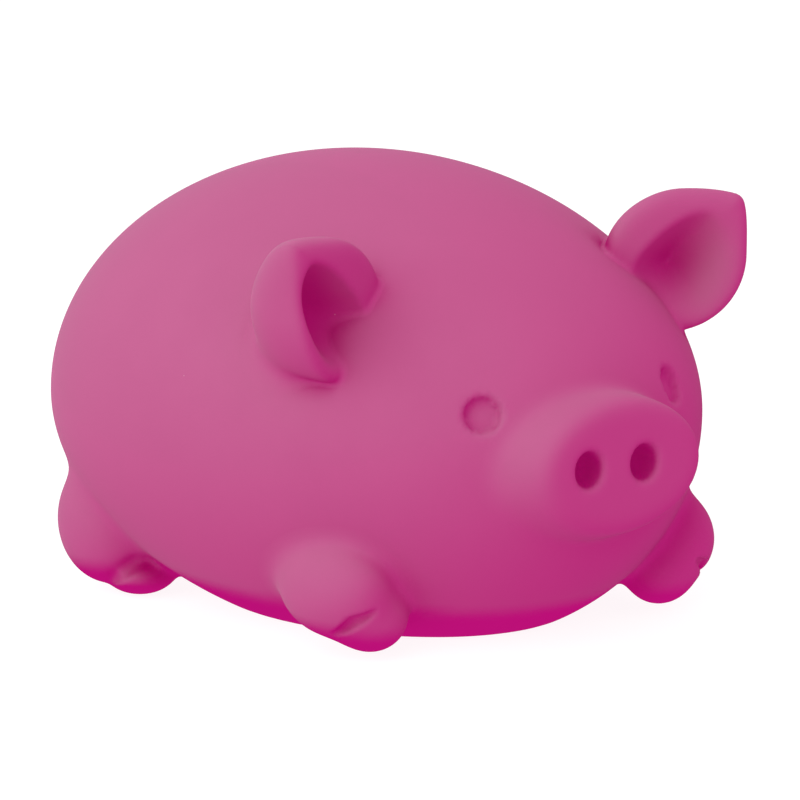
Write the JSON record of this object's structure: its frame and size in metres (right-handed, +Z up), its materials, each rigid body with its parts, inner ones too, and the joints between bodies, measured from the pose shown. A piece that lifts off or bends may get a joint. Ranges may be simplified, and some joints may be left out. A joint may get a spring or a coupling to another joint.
{
  "type": "pig squeeze toy",
  "caption": "Soft pig-shaped squeeze toy: egg-shaped rubber body with a flat belly, oval snout, cupped ears, stubby feet and a curled tail; it presses flat and springs back.",
  "frame": {"origin": "middle of the flat belly face that the toy rests on", "axes": "+Z up through the back, -Y the way the snout points, +X the pig's left side"},
  "size_m": [0.0944, 0.1176, 0.0664],
  "materials": {
    "skin_rubber": "matt moulded thermoplastic rubber, slightly translucent",
    "dough": "soft white dough",
    "plug_rubber": "matt rubber plug"
  },
  "bodies": {
    "belly": {"belly_skin": "skin_rubber", "filling": "dough", "fill_plug": "plug_rubber"},
    "back": {"back_skin": "skin_rubber"},
    "snout": {"snout": "skin_rubber"},
    "ear_right": {"ear_right": "skin_rubber"},
    "ear_left": {"ear_left": "skin_rubber"},
    "foot_front_right": {"foot_front_right": "skin_rubber"},
    "foot_front_left": {"foot_front_left": "skin_rubber"},
    "foot_rear_right": {"foot_rear_right": "skin_rubber"},
    "foot_rear_left": {"foot_rear_left": "skin_rubber"},
    "tail": {"tail": "skin_rubber"}
  },
  "joints": [
    {"name": "squeeze", "type": "slide", "parent": "belly", "child": "back", "axis": [0, 0, -1], "range_m": [0, 0.016], "stiffness_N_per_m": 1500, "deforming": ["back_skin", "belly_skin", "filling"]},
    {"name": "snout_drop", "type": "slide", "parent": "belly", "child": "snout", "axis": [0, 0, -1], "range_m": [0, 0.008]},
    {"name": "ear_right_flex", "type": "hinge", "parent": "back", "child": "ear_right", "pos_m": [-0.02842, -0.0277, 0.04895], "axis": [0.6108, 0.4205, 0.6709], "range_deg": [-25, 35], "stiffness_Nm_per_rad": 0.008},
    {"name": "ear_left_flex", "type": "hinge", "parent": "back", "child": "ear_left", "pos_m": [0.02842, -0.0277, 0.04895], "axis": [0.6108, -0.4205, -0.6709], "range_deg": [-25, 35], "stiffness_Nm_per_rad": 0.008},
    {"name": "foot_front_right_flex", "type": "hinge", "parent": "belly", "child": "foot_front_right", "pos_m": [-0.0291, -0.0298, 0.0106], "axis": [-1, 0, 0], "range_deg": [0, 20], "stiffness_Nm_per_rad": 0.01},
    {"name": "foot_front_left_flex", "type": "hinge", "parent": "belly", "child": "foot_front_left", "pos_m": [0.0291, -0.0298, 0.0106], "axis": [-1, 0, 0], "range_deg": [0, 20], "stiffness_Nm_per_rad": 0.01},
    {"name": "foot_rear_right_flex", "type": "hinge", "parent": "belly", "child": "foot_rear_right", "pos_m": [-0.0362, 0.0225, 0.0111], "axis": [-1, 0, 0], "range_deg": [0, 20], "stiffness_Nm_per_rad": 0.01},
    {"name": "foot_rear_left_flex", "type": "hinge", "parent": "belly", "child": "foot_rear_left", "pos_m": [0.0362, 0.0225, 0.0111], "axis": [-1, 0, 0], "range_deg": [0, 20], "stiffness_Nm_per_rad": 0.01},
    {"name": "tail_flex", "type": "hinge", "parent": "back", "child": "tail", "pos_m": [0, 0.0507, 0.046], "axis": [1, 0, 0], "range_deg": [-25, 25], "stiffness_Nm_per_rad": 0.0005}
  ],
  "couplings": [
    {"joint": "snout_drop", "follows": "squeeze", "ratio": 0.5}
  ]
}
